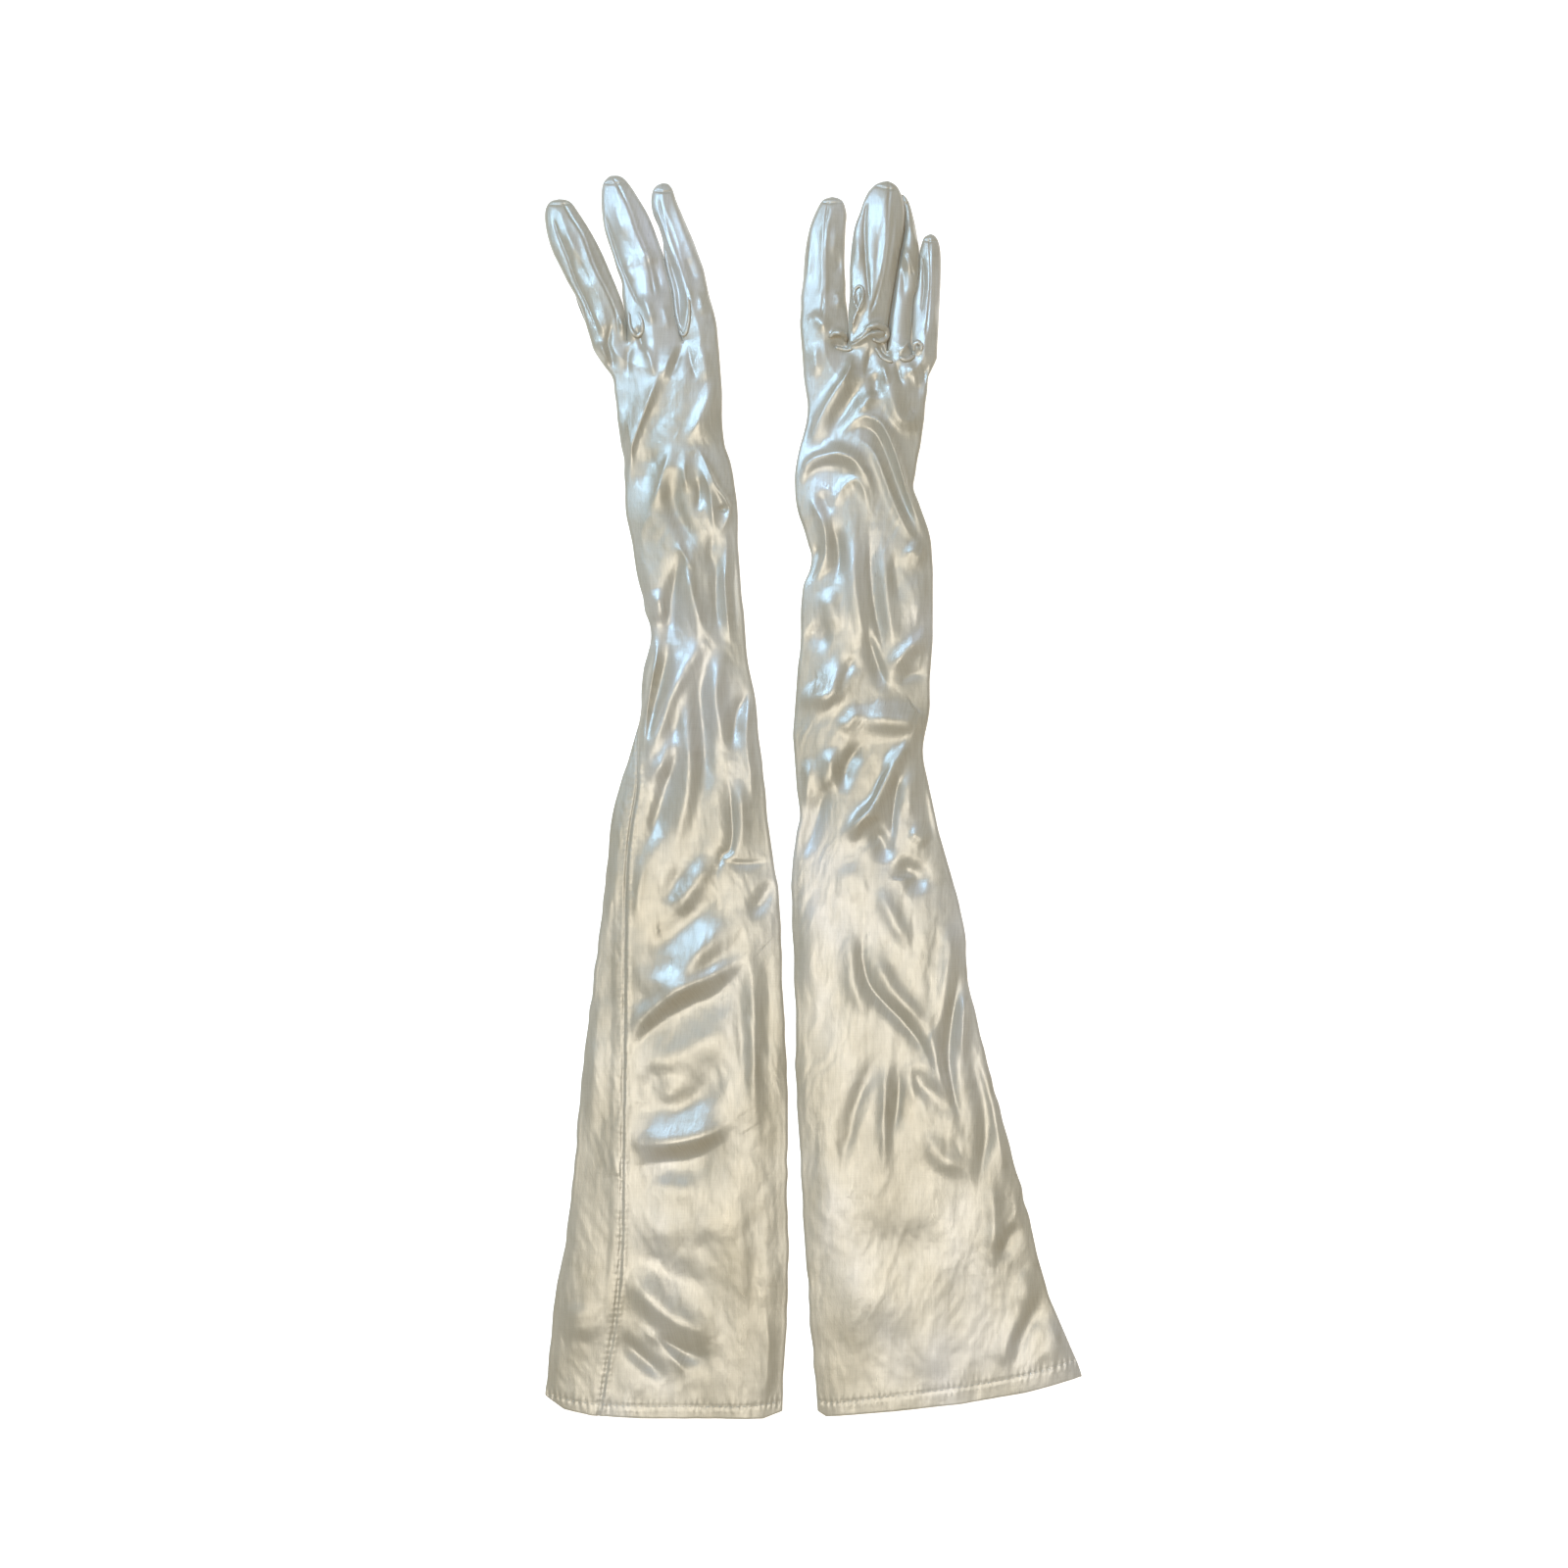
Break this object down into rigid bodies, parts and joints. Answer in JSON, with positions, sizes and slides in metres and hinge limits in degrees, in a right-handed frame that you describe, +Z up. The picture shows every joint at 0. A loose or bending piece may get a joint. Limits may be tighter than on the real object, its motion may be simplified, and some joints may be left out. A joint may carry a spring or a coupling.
{
  "type": "opera gloves",
  "caption": "Pair of upper-arm-length satin gloves lying flat with the backs of the hands up, open at the arm, with separate fingers and thumbs tucked beneath the palms.",
  "frame": {"origin": "middle of the pair on the surface that it lies on", "axes": "+Y from the arm openings to the fingertips, +X from the left glove to the right glove, +Z up through the backs of the hands"},
  "size_m": [0.2746, 0.6334, 0.01],
  "materials": {
    "back_satin": "ivory stretch satin, smooth with a soft sheen",
    "palm_side_satin": "ivory stretch satin, smooth with a soft sheen",
    "fourchette_satin": "ivory stretch satin",
    "hem_satin": "ivory stretch satin, folded and stitched",
    "seam_allowance_satin": "ivory stretch satin, inside face"
  },
  "bodies": {
    "left_upper_arm": {"left_upper_arm_back_panel": "back_satin", "left_upper_arm_front_panel": "palm_side_satin", "left_hem_back": "hem_satin", "left_hem_front": "hem_satin", "left_upper_arm_seam_allowance": "seam_allowance_satin"},
    "left_forearm": {"left_forearm_back_panel": "back_satin", "left_forearm_front_panel": "palm_side_satin", "left_forearm_seam_allowance": "seam_allowance_satin"},
    "left_hand": {"left_hand_back_panel": "back_satin", "left_palm_panel": "palm_side_satin"},
    "left_thumb": {"left_thumb_back": "back_satin", "left_thumb_front": "palm_side_satin"},
    "left_index": {"left_index_back": "back_satin", "left_index_front": "palm_side_satin", "left_index_fourchette": "fourchette_satin"},
    "left_middle": {"left_middle_back": "back_satin", "left_middle_front": "palm_side_satin", "left_middle_inner_fourchette": "fourchette_satin", "left_middle_outer_fourchette": "fourchette_satin"},
    "left_ring": {"left_ring_back": "back_satin", "left_ring_front": "palm_side_satin", "left_ring_inner_fourchette": "fourchette_satin", "left_ring_outer_fourchette": "fourchette_satin"},
    "left_little": {"left_little_back": "back_satin", "left_little_front": "palm_side_satin", "left_little_fourchette": "fourchette_satin"},
    "right_upper_arm": {"right_upper_arm_back_panel": "back_satin", "right_upper_arm_front_panel": "palm_side_satin", "right_hem_back": "hem_satin", "right_hem_front": "hem_satin", "right_upper_arm_seam_allowance": "seam_allowance_satin"},
    "right_forearm": {"right_forearm_back_panel": "back_satin", "right_forearm_front_panel": "palm_side_satin", "right_forearm_seam_allowance": "seam_allowance_satin"},
    "right_hand": {"right_hand_back_panel": "back_satin", "right_palm_panel": "palm_side_satin"},
    "right_thumb": {"right_thumb_back": "back_satin", "right_thumb_front": "palm_side_satin"},
    "right_index": {"right_index_back": "back_satin", "right_index_front": "palm_side_satin", "right_index_fourchette": "fourchette_satin"},
    "right_middle": {"right_middle_back": "back_satin", "right_middle_front": "palm_side_satin", "right_middle_inner_fourchette": "fourchette_satin", "right_middle_outer_fourchette": "fourchette_satin"},
    "right_ring": {"right_ring_back": "back_satin", "right_ring_front": "palm_side_satin", "right_ring_inner_fourchette": "fourchette_satin", "right_ring_outer_fourchette": "fourchette_satin"},
    "right_little": {"right_little_back": "back_satin", "right_little_front": "palm_side_satin", "right_little_fourchette": "fourchette_satin"}
  },
  "joints": [
    {"name": "right_glove_slide", "type": "slide", "parent": "left_upper_arm", "child": "right_upper_arm", "axis": [1, 0, 0], "range_m": [0, 0.15]},
    {"name": "left_elbow_bend", "type": "hinge", "parent": "left_upper_arm", "child": "left_forearm", "pos_m": [-0.065, -0.11625, 0.0103], "axis": [1, 0, 0], "range_deg": [0, 120]},
    {"name": "left_wrist_bend", "type": "hinge", "parent": "left_forearm", "child": "left_hand", "pos_m": [-0.0645, 0.11875, 0.0103], "axis": [1, 0, 0], "range_deg": [0, 80]},
    {"name": "left_index_bend", "type": "hinge", "parent": "left_hand", "child": "left_index", "pos_m": [-0.0575, 0.2323, 0.0103], "axis": [0.9724, 0.2332, 0], "range_deg": [0, 90]},
    {"name": "left_middle_bend", "type": "hinge", "parent": "left_hand", "child": "left_middle", "pos_m": [-0.08075, 0.2323, 0.0103], "axis": [0.9701, 0.2427, 0], "range_deg": [0, 90]},
    {"name": "left_ring_bend", "type": "hinge", "parent": "left_hand", "child": "left_ring", "pos_m": [-0.105, 0.2323, 0.0103], "axis": [0.9661, 0.258, 0], "range_deg": [0, 90]},
    {"name": "left_little_swing", "type": "hinge", "parent": "left_hand", "child": "left_little", "pos_m": [-0.10337, 0.22125, 0.00125], "axis": [0, 0, 1], "range_deg": [0, 25]},
    {"name": "left_thumb_swing", "type": "hinge", "parent": "left_hand", "child": "left_thumb", "pos_m": [-0.05225, 0.14525, 0.00125], "axis": [0, 0, -1], "range_deg": [0, 40]},
    {"name": "right_elbow_bend", "type": "hinge", "parent": "right_upper_arm", "child": "right_forearm", "pos_m": [0.03725, -0.11625, 0.0103], "axis": [1, 0, 0], "range_deg": [0, 120]},
    {"name": "right_wrist_bend", "type": "hinge", "parent": "right_forearm", "child": "right_hand", "pos_m": [0.0295, 0.11875, 0.0103], "axis": [1, 0, 0], "range_deg": [0, 80]},
    {"name": "right_index_bend", "type": "hinge", "parent": "right_hand", "child": "right_index", "pos_m": [0.00475, 0.23189, 0.0103], "axis": [0.9977, -0.0675, 0], "range_deg": [0, 90]},
    {"name": "right_middle_bend", "type": "hinge", "parent": "right_hand", "child": "right_middle", "pos_m": [0.02838, 0.2284, 0.0103], "axis": [0.9948, -0.1022, 0], "range_deg": [0, 90]},
    {"name": "right_ring_swing", "type": "hinge", "parent": "right_hand", "child": "right_ring", "pos_m": [0.0395, 0.22675, 0.00125], "axis": [0, 0, 1], "range_deg": [0, 10]},
    {"name": "right_little_bend", "type": "hinge", "parent": "right_hand", "child": "right_little", "pos_m": [0.05588, 0.22432, 0.0103], "axis": [0.9986, -0.0524, 0], "range_deg": [0, 90]},
    {"name": "right_thumb_swing", "type": "hinge", "parent": "right_hand", "child": "right_thumb", "pos_m": [0.00275, 0.14625, 0.00125], "axis": [0, 0, 1], "range_deg": [0, 40]}
  ]
}
